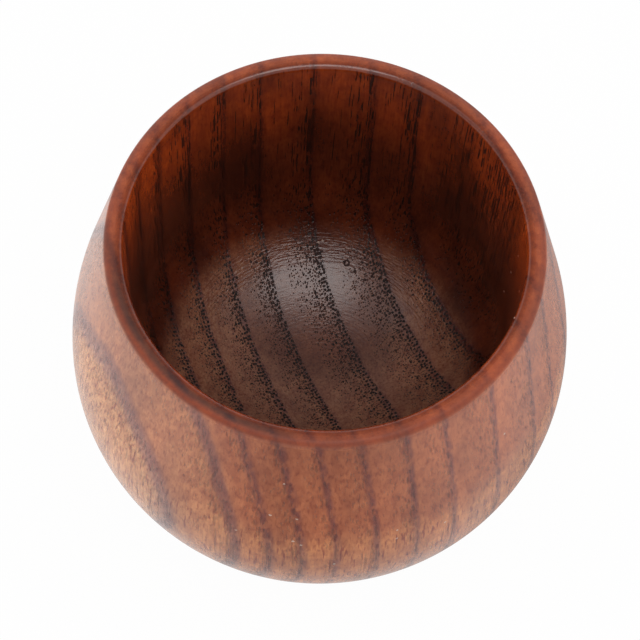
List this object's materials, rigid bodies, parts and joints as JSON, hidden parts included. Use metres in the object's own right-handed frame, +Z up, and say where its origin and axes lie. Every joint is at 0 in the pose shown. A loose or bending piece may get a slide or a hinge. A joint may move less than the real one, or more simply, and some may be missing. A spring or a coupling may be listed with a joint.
{
  "type": "wooden cup",
  "caption": "Small turned wooden cup with a round belly, a narrower mouth, a deep hollow with a dished floor, and a flat foot.",
  "frame": {"origin": "middle of the foot's flat underside", "axes": "+Z up along the turning axis, towards the mouth; the cup is round, and -Y is the side that faces the camera in the picture"},
  "size_m": [0.08, 0.08, 0.065],
  "materials": {
    "wood": "satin lacquer over reddish-brown open-pored hardwood"
  },
  "bodies": {
    "root": {"cup": "wood"}
  },
  "joints": []
}
